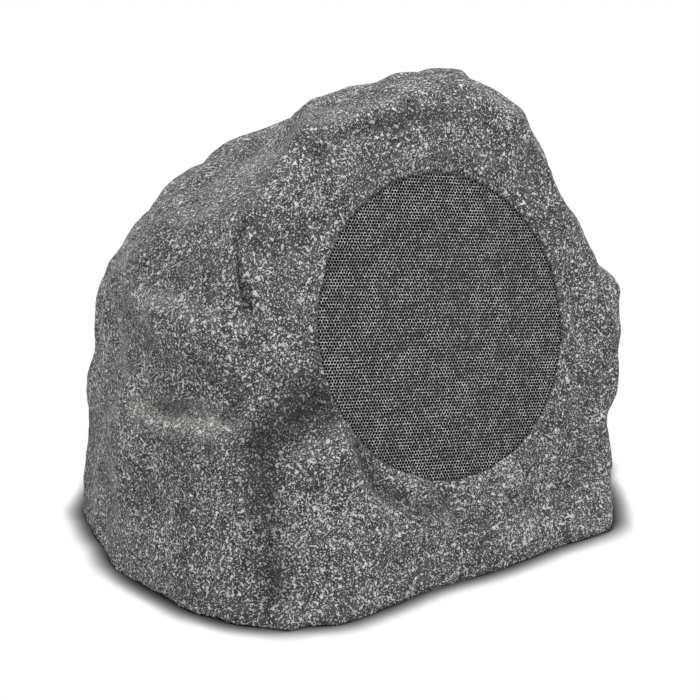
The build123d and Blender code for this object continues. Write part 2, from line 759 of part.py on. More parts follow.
def tag_strip():
    """Fibre strip with the woofer's solder tags, under the rim of the basket."""
    high = -FLANGE - GASKET - BAFFLE - CUTOUT_GAP
    strip = Pos(0, -BASKET_R - TAG_STRIP / 2, high - TAG_WIDTH / 2)
    return DRIVER * strip * Box(TAG_LENGTH, TAG_STRIP, TAG_WIDTH)


def driver_lead():
    """Flat twin lead from the tag strip down to the terminal block."""
    high = -FLANGE - GASKET - BAFFLE - CUTOUT_GAP - TAG_WIDTH / 2
    start = DRIVER.from_local_coords(Vector(0, -BASKET_R - TAG_STRIP, high))
    down = DRIVER.y_dir * -1
    end = terminal_place() + Vector(0, 0, TERMINAL_HEIGHT / 2)
    bend = LEAD_BEND_SHARE * (start.Z - end.Z)
    over = end + Vector(0, 0, 2 * bend)
    path = FilletPolyline(start, start + down * 2 * bend, over, end, radius=bend)
    flat = Plane(origin=start, x_dir=(1, 0, 0), z_dir=down)
    return sweep(flat * Rectangle(LEAD_WIDTH, LEAD), path=path)


def hexagon(radius, low, high):
    """Six-sided prism about local Z."""
    return Pos(0, 0, low) * extrude(RegularPolygon(radius, 6), high - low)


def gland_washer():
    """Flat seal under the gland's hexagon."""
    return GLAND * ring(GLAND_HEX_R * cos(pi / 6), GLAND_THREAD_R + FIT_GAP, 0, GLAND_WASHER)


def gland_body():
    """Hexagon with a thread into the rock and a neck for the cap."""
    low = -GLAND_WALL - GLAND_NUT - GLAND_WASHER
    hex_top = GLAND_WASHER + GLAND_HEX
    body = hexagon(GLAND_HEX_R, GLAND_WASHER, hex_top) + disc(GLAND_THREAD_R, low, GLAND_WASHER)
    body += disc(GLAND_NECK_R, hex_top, hex_top + GLAND_NECK)
    return GLAND * (body - disc(GLAND_BORE_R, low, hex_top + GLAND_NECK))


def gland_seal():
    """Rubber sleeve that grips the cable."""
    top = GLAND_WASHER + GLAND_HEX + GLAND_NECK
    return GLAND * ring(GLAND_BORE_R - FIT_GAP, CABLE_R, top - SEAL_LENGTH, top)


def gland_cap():
    """Clamping cap over the neck, with the mouth for the cable."""
    low = GLAND_WASHER + GLAND_HEX + FIT_GAP
    neck_top = GLAND_WASHER + GLAND_HEX + GLAND_NECK + FIT_GAP
    body = hexagon(GLAND_CAP_R, low, neck_top) + disc(
        GLAND_CAP_R * cos(pi / 6), neck_top, low + GLAND_CAP
    )
    body -= disc(GLAND_NECK_R + FIT_GAP, low, neck_top)
    return GLAND * (body - disc(GLAND_MOUTH_R, low, low + GLAND_CAP))


def gland_nut():
    """Lock nut inside the rock."""
    nut = hexagon(GLAND_HEX_R, -GLAND_WALL - GLAND_NUT, -GLAND_WALL)
    return GLAND * (nut - disc(GLAND_THREAD_R + FIT_GAP, -GLAND_WALL - GLAND_NUT, -GLAND_WALL))


PARTS = (
    rock_shell,
    grille,
    grille_scrim,
    driver_gasket,
    driver_basket,
    surround,
    cone,
    dust_cap,
    voice_coil,
    spider,
    front_plate,
    magnet,
    pole_yoke,
    tweeter_bridge,
    tweeter_body,
    tweeter_dome,
    driver_screws,
    bridge_screws,
    base_plate,
    base_gasket,
    base_screws,
    crossover_board,
    board_screws,
    capacitors,
    inductors,
    resistor,
    terminal_block,
    tag_strip,
    driver_lead,
    gland_washer,
    gland_body,
    gland_seal,
    gland_cap,
    gland_nut,
)


def main():
    """Write each piece to its own file."""
    os.makedirs("parts", exist_ok=True)
    for part in PARTS:
        export_step(part(), f"parts/{part.__name__}.step")


main()
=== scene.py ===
import json
from math import cos, pi, radians, sin

import bpy
import numpy as np
from mathutils import Matrix, Vector, noise
from mathutils.bvhtree import BVHTree
from mathutils.geometry import delaunay_2d_cdt


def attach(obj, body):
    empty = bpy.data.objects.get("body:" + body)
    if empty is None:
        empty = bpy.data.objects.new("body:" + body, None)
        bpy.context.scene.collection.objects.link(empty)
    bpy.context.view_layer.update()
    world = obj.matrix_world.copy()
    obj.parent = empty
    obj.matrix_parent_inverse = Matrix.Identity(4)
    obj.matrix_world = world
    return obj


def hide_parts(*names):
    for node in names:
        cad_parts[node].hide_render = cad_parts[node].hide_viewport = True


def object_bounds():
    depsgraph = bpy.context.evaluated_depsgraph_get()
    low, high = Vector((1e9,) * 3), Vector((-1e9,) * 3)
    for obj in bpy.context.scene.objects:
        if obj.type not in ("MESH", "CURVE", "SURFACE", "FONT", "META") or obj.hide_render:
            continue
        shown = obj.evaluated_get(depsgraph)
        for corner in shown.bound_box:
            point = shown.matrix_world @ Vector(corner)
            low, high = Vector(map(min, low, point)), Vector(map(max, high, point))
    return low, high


bl_info = {
    "name": "Rock Garden Speaker",
    "version": (1, 0, 0),
    "blender": (4, 5, 0),
    "location": "3D View > Sidebar > Rock Speaker",
    "description": "Dresses the packed rock speaker with its stone skin, fine grille and finishes",
    "category": "Object",
}

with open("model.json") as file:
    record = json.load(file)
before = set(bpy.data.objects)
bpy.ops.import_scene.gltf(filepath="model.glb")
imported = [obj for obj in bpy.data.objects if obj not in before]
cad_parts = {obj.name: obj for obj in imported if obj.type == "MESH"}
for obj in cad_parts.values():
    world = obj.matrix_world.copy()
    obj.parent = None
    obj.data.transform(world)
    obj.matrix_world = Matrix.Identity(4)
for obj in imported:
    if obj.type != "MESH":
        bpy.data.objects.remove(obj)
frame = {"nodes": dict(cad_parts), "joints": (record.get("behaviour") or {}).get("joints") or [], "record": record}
CAD_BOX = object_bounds()

# The part's own frame, read from the packed model (metres)
FRONT_OUT = Vector(frame["joints"][0]["axis"]).normalized()
FRONT_RIGHT = Vector((1.0, 0.0, 0.0))
FRONT_UP = FRONT_OUT.cross(FRONT_RIGHT)
SLOT_COLOURS = {m["slot"]: m["base_color"] for m in frame["record"]["materials"]}
NODE_SLOTS = {s["node"]: s["material_slot"] for s in frame["record"]["subparts"]}
MOUNTS = {m["name"]: m for m in frame["record"]["mounts"]}

# Marks worn into the stone: points along each one (millimetres), half width, depth and painted shade in it;
# one without depth is only a patch of painted shade
CREASES = (
    (((-131, -62, 246), (-136, -64, 232), (-133, -72, 208), (-133, -78, 190)), 2.2, 4.6, 1.0),
    (((-95, -98, 128), (-118, -99, 120), (-140, -101, 112)), 15.0, 3.0, 1.0),
    (((-140, -104, 106), (-147, -116, 70), (-152, -124, 45), (-157, -129, 27)), 10.0, 3.0, 0.8),
    (((-79, -107, 99), (-68, -116, 68), (-45, -121, 52), (-21, -125, 43)), 5.0, 3.2, 0.8),
    (((-176, -22, 160), (-173, -44, 152), (-160, -75, 148)), 13.0, 1.0, 0.25),
    (((-182, -40, 98), (-172, -80, 100)), 9.0, 0.8, 0.2),
    (((-40, -48, 277), (0, -50, 279), (45, -52, 278)), 5.0, 2.2, 0.6),
    (((-138, -79, 190), (-142, -85, 166), (-139, -88, 150)), 6.0, -1.6, 0.0),
    (((-168, 0, 216), (-160, -30, 216), (-150, -60, 214)), 16.0, 0.0, 0.4),
    (((-30, -127, 40), (20, -130, 32), (80, -128, 30)), 14.0, 0.0, 0.28),
    (((100, -122, 45), (140, -105, 45)), 14.0, 0.0, 0.22),
)
# Ledges: points along each one (millimetres), half height, step out below it, and the pale dust with painted
# highlight laid on it
LEDGES = (
    (((-184, -20, 118), (-180, -37, 118), (-172, -66, 121), (-165, -86, 125)), 8.0, 3.2, 1.4),
    (((-180, -5, 190), (-178, -15, 190), (-168, -50, 189), (-160, -70, 187)), 9.0, 2.4, 0.5),
    (((-30, -66, 262), (30, -68, 262), (70, -76, 252)), 7.0, 1.2, 0.1),
    (((120, 100, 170), (150, 60, 165)), 12.0, 2.2, 0.3),
)
# Pits: middle (millimetres), half width and depth
PITS = (
    ((-16, -124, 48), 4.5, 2.6),
    ((-113, 18, 247), 6.0, 3.0),
    ((8, -131, 30), 4.0, 2.2),
    ((36, -128, 34), 5.0, 2.4),
    ((-172, -20, 160), 6.0, 2.0),
    ((-176, -60, 60), 5.0, 2.0),
    ((-60, -47, 268), 5.0, 2.0),
    ((20, -40, 288), 6.0, 2.2),
    ((60, 130, 120), 8.0, 2.5),
    ((-70, 125, 80), 7.0, 2.5),
)
MM = 0.001

# Stone skin: lengths (metres), shares and passes
ROCK_CORE = np.array(Vector((0.0, 0.02, 0.13)))
CORE_FLATTEN = 0.35
PROBE_LIFT = 0.0015
HOLLOW_ACROSS = 0.03
OPENING_BAND = (0.002, 0.016)
OPENING_DEPTH = 0.05
GLAND_BAND = (0.019, 0.032)
BACK_Y = 0.05
WANDER = 0.002
WANDER_SIZE = 0.014
# Share of painted shade laid in a pit
PIT_PAINTED_SHADE = 0.8
LEDGE_SLOPE = 2.3
LEDGE_FADE = 0.8
LIP_HEIGHTS = (-0.0016, -0.0002)
LIP_REACH = 0.004
LIP_LIFT = 0.0003
LIP_WAVES = ((0.55, 0.026, 4), (0.35, 0.009, 5))
SOFTEN_SHARE = 0.5
FOOT_BAND = 0.4
FOOT_FACING = -0.6
INSIDE_LEFT_OUT = 0.93
INSIDE_WEIGHT = 1000.0
HOLLOW_PASSES = 4
FULL_HOLLOW = 0.00025

# Sizes of the stone's markings (metres)
PATCH_SIZE = 0.026
MOTTLE_SIZE = 0.006
# Cloud of the dust and painted highlight on upward faces
DUST_AND_HIGHLIGHT_SIZE = 0.009
PORE_SIZE = 0.0012

# Period of Blender's wave texture at a scale of one
WAVE_PERIOD = 0.314

# Grille: points round the disc, and corners of a hole
DISC_POINTS = 180
CORNERS = 6

# Stage: lengths (metres) and lamp colours
FLOOR_HALF = 6.0
SHADOW_REACH = 0.016
SHADOW_POWER = 5.0
LAMP_TARGET = (0.0, 0.0, 0.15)
KEY_PLACE = (0.5, -0.7, 1.9)
KEY_SIZE = 1.0
KEY_COLOUR = (1.0, 0.985, 0.955)
FILL_PLACE = (-1.9, -0.6, 0.35)
FILL_SIZE = 1.2
FILL_COLOUR = (0.94, 0.97, 1.0)
SENSOR_WIDTH = 36.0


def node_points(name):
    """Vertices of a packed node as an array."""
    mesh = frame["nodes"][name].data
    points = np.empty(len(mesh.vertices) * 3)
    mesh.vertices.foreach_get("co", points)
    return points.reshape(-1, 3)


def grille_place():
    """Middle of the grille's front face, and the grille's radius."""
    points = node_points("grille")
    right = points @ np.array(FRONT_RIGHT)
    up = points @ np.array(FRONT_UP)
    out = (points @ np.array(FRONT_OUT)).max()
    middle = FRONT_RIGHT * (right.min() + right.max()) / 2
    middle += FRONT_UP * (up.min() + up.max()) / 2 + FRONT_OUT * out
    return middle, (right.max() - right.min()) / 2


GRILLE_MIDDLE, GRILLE_R = grille_place()


class RockSettings(bpy.types.PropertyGroup):
    """Form and finish of the moulded stone."""

    voxel: bpy.props.FloatProperty(
        name="Skin detail", description="Size of the skin's faces", default=0.0026, unit="LENGTH"
    )
    soften: bpy.props.IntProperty(
        name="Softening", description="Passes that soften the stone's edges", default=2
    )
    swell: bpy.props.FloatProperty(
        name="Swell", description="Height of the broad waves", default=0.0042, unit="LENGTH"
    )
    swell_size: bpy.props.FloatProperty(
        name="Swell length", description="Length of the broad waves", default=0.058, unit="LENGTH"
    )
    lump: bpy.props.FloatProperty(
        name="Lumps", description="Height of the small lumps", default=0.0024, unit="LENGTH"
    )
    lump_size: bpy.props.FloatProperty(
        name="Lump length", description="Length of the small lumps", default=0.019, unit="LENGTH"
    )
    grain: bpy.props.FloatProperty(
        name="Grain", description="Height of the fine grain", default=0.00045, unit="LENGTH"
    )
    grain_size: bpy.props.FloatProperty(
        name="Grain length", description="Length of the fine grain", default=0.0062, unit="LENGTH"
    )
    lip: bpy.props.FloatProperty(
        name="Lip", description="How far the stone laps over the grille's edge", default=0.0022, unit="LENGTH"
    )
    dark: bpy.props.FloatVectorProperty(
        name="Dark ground",
        description="Deepest colour of the stone",
        subtype="COLOR",
        default=(0.030, 0.031, 0.035),
    )
    grey: bpy.props.FloatVectorProperty(
        name="Grey ground",
        description="Lighter colour of the ground",
        subtype="COLOR",
        default=(0.095, 0.097, 0.106),
    )
    speck: bpy.props.FloatVectorProperty(
        name="Specks", description="Colour of the light specks", subtype="COLOR", default=(0.86, 0.86, 0.83)
    )
    # Pale colour laid on the ledges and upward faces: dust together with painted highlight
    dust: bpy.props.FloatVectorProperty(
        name="Dust", description="Colour of the dust on ledges", subtype="COLOR", default=(0.46, 0.45, 0.39)
    )
    speck_size: bpy.props.FloatProperty(
        name="Speck size", description="Spacing of the specks", default=0.0014, unit="LENGTH"
    )


class GrilleSettings(bpy.types.PropertyGroup):
    """Perforation and paint of the grille."""

    pitch: bpy.props.FloatProperty(
        name="Pitch", description="Spacing of the holes", default=0.00225, unit="LENGTH"
    )
    hole_share: bpy.props.FloatProperty(
        name="Hole share", description="Width of a hole as a share of the pitch", default=0.82
    )
    row_turn: bpy.props.FloatProperty(
        name="Row turn", description="Turn of the rows of holes", default=radians(-11.1), subtype="ANGLE"
    )
    rim: bpy.props.FloatProperty(
        name="Rim", description="Plain rim outside the holes", default=0.0004, unit="LENGTH"
    )
    sheet: bpy.props.FloatProperty(
        name="Sheet", description="Thickness of the sheet", default=0.0006, unit="LENGTH"
    )
    skirt: bpy.props.FloatProperty(
        name="Skirt", description="Depth of the folded edge", default=0.006, unit="LENGTH"
    )
    paint: bpy.props.FloatVectorProperty(
        name="Paint",
        description="Ground colour of the grille",
        subtype="COLOR",
        default=(0.212, 0.213, 0.217),
    )
    speck: bpy.props.FloatVectorProperty(
        name="Specks",
        description="Colour of the grille's specks",
        subtype="COLOR",
        default=(0.95, 0.95, 0.93),
    )


class StageSettings(bpy.types.PropertyGroup):
    """Camera, floor and light."""

    azimuth: bpy.props.FloatProperty(
        name="Azimuth", description="Camera's turn round the speaker", default=radians(-37.7), subtype="ANGLE"
    )
    elevation: bpy.props.FloatProperty(
        name="Elevation", description="Camera's height above level", default=radians(20.0), subtype="ANGLE"
    )
    distance: bpy.props.FloatProperty(
        name="Distance", description="Camera's depth to the grille's middle", default=1.4450, unit="LENGTH"
    )
    focal: bpy.props.FloatProperty(
        name="Focal length", description="In picture widths", default=2250.0 / 700.0
    )
    grille_seen: bpy.props.FloatVectorProperty(
        name="Grille in view",
        description="Grille's middle, right and up from the picture's middle, in picture widths",
        size=2,
        default=(94.0 / 700.0, 23.5 / 700.0),
    )
    world: bpy.props.FloatProperty(
        name="Sky", description="Strength of the even light", default=0.73
    )
    key: bpy.props.FloatProperty(
        name="Key", description="Power of the lamp overhead", default=13.0, unit="POWER"
    )
    fill: bpy.props.FloatProperty(
        name="Fill", description="Power of the lamp on the left", default=8.0, unit="POWER"
    )
    floor: bpy.props.FloatVectorProperty(
        name="Floor", description="Colour of the floor", subtype="COLOR", default=(0.36, 0.36, 0.36)
    )


# Material building


def new_material(name):
    """Material with its tree and its surface shader."""
    material = bpy.data.materials.new(name)
    material.use_nodes = True
    tree = material.node_tree
    return material, tree, tree.nodes["Principled BSDF"]


def add_node(tree, kind, links=None, **values):
    """Node of a kind, with its attributes set and its inputs linked or filled."""
    made = tree.nodes.new(kind)
    for key, value in values.items():
        setattr(made, key, value)
    for key, value in (links or {}).items():
        if isinstance(value, bpy.types.NodeSocket):
            tree.links.new(value, made.inputs[key])
        else:
            made.inputs[key].default_value = value
    return made


def place_on_object(tree):
    """Coordinates fixed to the piece."""
    return add_node(tree, "ShaderNodeTexCoord").outputs["Object"]


def cloudy(tree, place, size, detail=2.0, roughness=0.5):
    """Soft noise whose waves have a size in metres."""
    links = {"Vector": place, "Scale": 1.0 / size, "Detail": detail, "Roughness": roughness}
    return add_node(tree, "ShaderNodeTexNoise", links).outputs["Fac"]


def spread(tree, value, low, high, start=0.0, end=1.0):
    """Value mapped from low..high to start..end and held there."""
    links = {"Value": value, "From Min": low, "From Max": high, "To Min": start, "To Max": end}
    return add_node(tree, "ShaderNodeMapRange", links).outputs["Result"]


def figure(tree, operation, first, second):
    """Arithmetic on two values."""
    return add_node(tree, "ShaderNodeMath", {0: first, 1: second}, operation=operation).outputs[0]


def mixed(tree, share, first, second):
    """Colour between two colours."""
    links = {0: share, 6: opaque(first), 7: opaque(second)}
    return add_node(tree, "ShaderNodeMix", links, data_type="RGBA").outputs[2]


def opaque(colour):
    """Colour with an alpha of one; a socket is left as it is."""
    if isinstance(colour, bpy.types.NodeSocket):
        return colour
    return (*colour[:3], 1.0)


def raise_surface(tree, shader, height, depth, strength=1.0):
    """Relief on a shader from a height."""
    links = {"Height": height, "Distance": depth, "Strength": strength}
    relief = add_node(tree, "ShaderNodeBump", links)
    tree.links.new(relief.outputs["Normal"], shader.inputs["Normal"])


def feed(tree, shader, **sockets):
    """Links or sets a shader's sockets; underscores stand for spaces."""
    for key, value in sockets.items():
        socket = shader.inputs[key.replace("_", " ")]
        if isinstance(value, bpy.types.NodeSocket):
            tree.links.new(value, socket)
        else:
            socket.default_value = value


def granite(settings):
    """Dark stone with irregular light specks, painted shade in its hollows, and dust with painted highlight on its
    ledges and upward faces.
    """
    material, tree, shader = new_material("granite_resin")
    place = place_on_object(tree)
    patches = spread(tree, cloudy(tree, place, PATCH_SIZE, 3.0), 0.35, 0.65, -0.02, 0.02)
    fine = figure(tree, "ADD", cloudy(tree, place, settings.speck_size * 0.78, 2.0, 0.6), patches)
    coarse = figure(tree, "ADD", cloudy(tree, place, settings.speck_size * 1.9, 1.0), patches)
    fine_specks = spread(tree, fine, 0.553, 0.597)
    coarse_specks = spread(tree, coarse, 0.629, 0.665)
    specks = figure(tree, "MAXIMUM", fine_specks, coarse_specks)
    tone = spread(tree, cloudy(tree, place, settings.speck_size * 1.6, 2.0), 0.3, 0.7, 0.45, 1.05)
    specks = figure(tree, "MULTIPLY", specks, tone)
    mottle = spread(tree, cloudy(tree, place, MOTTLE_SIZE, 4.0), 0.35, 0.65)
    ground = mixed(tree, mottle, settings.dark, settings.grey)
    # Dust and painted highlight: upward faces and the ledges are made paler in the colour
    facing = add_node(tree, "ShaderNodeNewGeometry").outputs["Normal"]
    upward = add_node(tree, "ShaderNodeSeparateXYZ", {0: facing}).outputs["Z"]
    level = spread(tree, upward, 0.25, 0.95)
    dust = figure(tree, "MULTIPLY", level, cloudy(tree, place, DUST_AND_HIGHLIGHT_SIZE, 4.0, 0.6))
    ledge_dust_and_highlight = add_node(tree, "ShaderNodeAttribute", attribute_name="dust").outputs["Fac"]
    grains = spread(tree, cloudy(tree, place, settings.speck_size, 3.0, 0.6), 0.42, 0.60)
    ledge_dust_and_highlight = figure(tree, "MULTIPLY", ledge_dust_and_highlight, grains)
    dust = figure(tree, "ADD", figure(tree, "MULTIPLY", dust, 0.08), figure(tree, "MULTIPLY", ledge_dust_and_highlight, 0.55))
    ground = mixed(tree, dust, ground, settings.dust)
    colour = mixed(tree, specks, ground, settings.speck)
    # Painted shade: the colour is darkened where shade falls, in the creases, pits, dark patches and hollows of
    # the skin
    hollow = add_node(tree, "ShaderNodeAttribute", attribute_name="hollow").outputs["Fac"]
    painted_shade = add_node(tree, "ShaderNodeAttribute", attribute_name="painted_shade").outputs["Fac"]
    painted_shade = figure(tree, "MAXIMUM", painted_shade, spread(tree, hollow, 0.1, 1.0, 0.0, 0.8))
    colour = mixed(tree, figure(tree, "MULTIPLY", painted_shade, 0.68), colour, shade(settings.dark, 0.1))
    feed(tree, shader, Base_Color=colour, Roughness=spread(tree, specks, 0.0, 1.0, 0.86, 0.62))
    shader.inputs["Specular IOR Level"].default_value = 0.3
    height = figure(tree, "ADD", figure(tree, "MULTIPLY", specks, 0.5), cloudy(tree, place, PORE_SIZE, 3.0))
    raise_surface(tree, shader, height, 0.0004, 0.6)
    return material


def speckled_paint(settings):
    """Grille paint: dark grey with scattered light specks."""
    material, tree, shader = new_material("grille_paint")
    place = place_on_object(tree)
    patches = spread(tree, cloudy(tree, place, 0.011, 3.0), 0.35, 0.65, -0.03, 0.03)
    fine = figure(tree, "ADD", cloudy(tree, place, 0.0010, 3.0, 0.6), patches)
    specks = spread(tree, fine, 0.525, 0.575)
    mottle = spread(tree, cloudy(tree, place, 0.012, 3.0), 0.3, 0.7)
    ground = mixed(tree, mottle, shade(settings.paint, 0.75), settings.paint)
    feed(tree, shader, Base_Color=mixed(tree, specks, ground, settings.speck), Roughness=0.6)
    raise_surface(tree, shader, cloudy(tree, place, 0.0006), 0.0001, 0.4)
    return material


def plain_coat(settings, name, low, high):
    """Coat without specks, between two shares of the grille paint's colour."""
    material, tree, shader = new_material(name)
    place = place_on_object(tree)
    patches = spread(tree, cloudy(tree, place, 0.010, 4.0), 0.3, 0.7)
    colour = mixed(tree, patches, shade(settings.paint, low), shade(settings.paint, high))
    feed(tree, shader, Base_Color=colour, Roughness=0.9)
    shader.inputs["Specular IOR Level"].default_value = 0.0
    return material


def slot_colour(slot):
    """Colour that the record gives a material slot."""
    return SLOT_COLOURS[slot][:3]


def shade(colour, factor):
    """Colour made darker or lighter."""
    return [min(1.0, c * factor) for c in colour[:3]]


def moulded(slot, roughness=0.55, grain=0.0006, coat=0.0):
    """Moulded plastic with a fine spark-eroded grain."""
    material, tree, shader = new_material(slot)
    place = place_on_object(tree)
    base = slot_colour(slot)
    tint = spread(tree, cloudy(tree, place, 0.02, 4.0), 0.3, 0.7)
    feed(tree, shader, Base_Color=mixed(tree, tint, shade(base, 0.8), shade(base, 1.2)))
    rough = spread(tree, cloudy(tree, place, 0.008, 3.0), 0.3, 0.7, roughness - 0.08, roughness + 0.08)
    feed(tree, shader, Roughness=rough)
    shader.inputs["Coat Weight"].default_value = coat
    raise_surface(tree, shader, cloudy(tree, place, grain), 0.0001, 0.5)
    return material


def rubbery(slot):
    """Soft rubber with a dull bloom."""
    material, tree, shader = new_material(slot)
    place = place_on_object(tree)
    base = slot_colour(slot)
    bloom = spread(tree, cloudy(tree, place, 0.01, 5.0, 0.6), 0.4, 0.75)
    feed(tree, shader, Base_Color=mixed(tree, bloom, base, shade(base, 1.9)), Roughness=0.82)
    raise_surface(tree, shader, cloudy(tree, place, 0.0009), 0.0001, 0.3)
    return material


def woven(slot, thread=0.0006, sheen=0.2):
    """Cloth with two sets of threads across each other."""
    material, tree, shader = new_material(slot)
    place = place_on_object(tree)
    base = slot_colour(slot)
    bands = []
    for direction in ("X", "Z"):
        links = {"Vector": place, "Scale": WAVE_PERIOD / thread, "Distortion": 0.4}
        wave = add_node(tree, "ShaderNodeTexWave", links, bands_direction=direction)
        bands.append(wave.outputs["Fac"])
    weave = figure(tree, "MULTIPLY", bands[0], bands[1])
    # Painted shade and highlight: the colour is darker where the weave dips between threads and lighter on its
    # crossings
    feed(tree, shader, Base_Color=mixed(tree, weave, shade(base, 0.6), shade(base, 1.3)), Roughness=0.9)
    shader.inputs["Sheen Weight"].default_value = sheen
    shader.inputs["Specular IOR Level"].default_value = sheen
    raise_surface(tree, shader, weave, thread * 0.3, 0.6)
    return material


def metal(slot, roughness=0.35, streak=0.02):
    """Plated or bare metal with fine streaks."""
    material, tree, shader = new_material(slot)
    place = place_on_object(tree)
    base = slot_colour(slot)
    links = {"Vector": place, "Scale": (1.0, 1.0, streak)}
    drawn = add_node(tree, "ShaderNodeMapping", links).outputs["Vector"]
    lines = cloudy(tree, drawn, 0.0004, 3.0)
    feed(tree, shader, Base_Color=mixed(tree, lines, shade(base, 0.8), shade(base, 1.1)))
    feed(tree, shader, Roughness=spread(tree, lines, 0.3, 0.7, roughness - 0.1, roughness + 0.12))
    shader.inputs["Metallic"].default_value = 1.0
    raise_surface(tree, shader, lines, 0.00003, 0.3)
    return material


def painted(slot):
    """Satin paint on metal, worn a little."""
    material, tree, shader = new_material(slot)
    place = place_on_object(tree)
    base = slot_colour(slot)
    wear = spread(tree, cloudy(tree, place, 0.014, 6.0, 0.65), 0.62, 0.75)
    feed(tree, shader, Base_Color=mixed(tree, wear, base, shade(base, 2.2)), Roughness=0.42)
    raise_surface(tree, shader, cloudy(tree, place, 0.0015, 2.0), 0.00012, 0.4)
    return material


def wound(slot, wire=0.0005):
    """Enamelled wire lying in even turns."""
    material, tree, shader = new_material(slot)
    place = place_on_object(tree)
    base = slot_colour(slot)
    links = {"Vector": place, "Scale": WAVE_PERIOD / wire}
    turns = add_node(tree, "ShaderNodeTexWave", links, bands_direction="Z").outputs["Fac"]
    # Painted shade: the colour is darker where the turns dip between the wires
    feed(tree, shader, Base_Color=mixed(tree, turns, shade(base, 0.5), base), Roughness=0.3)
    shader.inputs["Metallic"].default_value = 0.9
    raise_surface(tree, shader, turns, wire * 0.4, 0.8)
    return material


FINISHES = {
    "scrim_cloth": lambda slot: woven(slot, 0.0005, 0.0),
    "seal_rubber": rubbery,
    "basket_paint": painted,
    "cone_poly": lambda slot: moulded(slot, 0.5, 0.0010),
    "cap_poly": lambda slot: moulded(slot, 0.35, 0.0008),
    "copper": wound,
    "spider_cloth": lambda slot: woven(slot, 0.0008),
    "plate_steel": metal,
    "ferrite": lambda slot: moulded(slot, 0.7, 0.0005),
    "black_plastic": moulded,
    "dome_silk": lambda slot: woven(slot, 0.0003),
    "screw_steel": lambda slot: metal(slot, 0.3, 1.0),
    "board_laminate": lambda slot: moulded(slot, 0.3, 0.002, 0.5),
    "film_wrap": lambda slot: moulded(slot, 0.3, 0.002, 0.4),
    "ceramic": lambda slot: moulded(slot, 0.8, 0.0008),
    "fibre": lambda slot: moulded(slot, 0.8, 0.0005),
    "lead_sheath": lambda slot: moulded(slot, 0.4, 0.001, 0.2),
}


def finish_nodes(*names):
    """Gives packed nodes the finish of their slot."""
    for name in names:
        slot = NODE_SLOTS[name]
        material = bpy.data.materials.get("finish_" + slot)
        if material is None:
            material = FINISHES[slot](slot)
            material.name = "finish_" + slot
        piece = frame["nodes"][name]
        piece.data.materials.clear()
        piece.data.materials.append(material)


def new_piece(name, points, faces, material, replaced):
    """Mesh piece that rides on the speaker and stands for a packed node."""
    mesh = bpy.data.meshes.new(name)
    mesh.from_pydata(points, [], faces)
    mesh.validate()
    piece = bpy.data.objects.new(name, mesh)
    bpy.context.scene.collection.objects.link(piece)
    mesh.materials.append(material)
    return dress(piece, replaced)


def dress(piece, replaced):
    """Lets a piece ride on the speaker in place of a packed node."""
    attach(piece, "speaker")
    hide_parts(replaced)
    return piece


# Stone skin


def voxel_copy(node, name, size):
    """Even mesh over a packed node."""
    copy = bpy.data.objects.new(name, frame["nodes"][node].data.copy())
    bpy.context.scene.collection.objects.link(copy)
    remesh = copy.modifiers.new("even", "REMESH")
    remesh.mode = "VOXEL"
    remesh.voxel_size = size
    bake_modifiers(copy)
    copy.data.materials.clear()
    return copy


def bake_modifiers(piece):
    """Replaces a piece's mesh by what its modifiers make of it."""
    graph = bpy.context.evaluated_depsgraph_get()
    mesh = bpy.data.meshes.new_from_object(piece.evaluated_get(graph))
    piece.modifiers.clear()
    piece.data = mesh


def mesh_arrays(mesh):
    """Points, normals and edges of a mesh."""
    points = np.empty(len(mesh.vertices) * 3)
    mesh.vertices.foreach_get("co", points)
    normals = np.empty(len(mesh.vertices) * 3)
    mesh.vertex_normals.foreach_get("vector", normals)
    edges = np.empty(len(mesh.edges) * 2, dtype=np.int64)
    mesh.edges.foreach_get("vertices", edges)
    return points.reshape(-1, 3), normals.reshape(-1, 3), edges.reshape(-1, 2)


def neighbour_mean(values, edges):
    """Mean of each vertex's neighbours."""
    count = np.bincount(edges.ravel(), minlength=len(values)).astype(float)
    total = np.zeros_like(values)
    for axis in range(values.shape[1]):
        total[:, axis] += np.bincount(edges[:, 0], values[edges[:, 1], axis], len(values))
        total[:, axis] += np.bincount(edges[:, 1], values[edges[:, 0], axis], len(values))
    return total / np.maximum(count, 1.0)[:, None]


def step(values, low, high):
    """Smooth rise from 0 at low to 1 at high."""
    share = np.clip((values - low) / (high - low), 0.0, 1.0)
    return share * share * (3 - 2 * share)


def inner_wall(mesh, points, normals):
    """True where the skin faces the hollow: another wall lies outside it, and far across it."""
    tree = BVHTree.FromPolygons([v.co for v in mesh.vertices], [p.vertices for p in mesh.polygons])
    inside = np.zeros(len(points), dtype=bool)
    for i, (point, normal) in enumerate(zip(points, normals)):
        start = Vector(point) + Vector(normal) * PROBE_LIFT
        away = point - ROCK_CORE
        out = Vector((away[0], away[1], CORE_FLATTEN * away[2])).normalized()
        if tree.ray_cast(start, out)[0] is None:
            continue
        across = tree.ray_cast(start, Vector(normal))
        inside[i] = across[0] is not None and across[3] > HOLLOW_ACROSS
    return inside


def grille_polar(points):
    """Distance from the grille's axis, height over its front face, and offset along that face."""
    away = points - np.array(GRILLE_MIDDLE)
    height = away @ np.array(FRONT_OUT)
    flat = away - np.outer(height, np.array(FRONT_OUT))
    return np.linalg.norm(flat, axis=1), height, flat


def gland_distance(points):
    """Distance from the cable entry's axis, large in front of the speaker's middle."""
    middle = np.array(MOUNTS["cable_entry"]["pos_m"])
    away = points - middle
    return np.where(points[:, 1] > BACK_Y, np.hypot(away[:, 0], away[:, 2]), 1.0)


def beside_grille(radius):
    """Rise from 0 at the grille's edge to 1 a little outside it."""
    return step(radius, GRILLE_R + OPENING_BAND[0], GRILLE_R + OPENING_BAND[1])


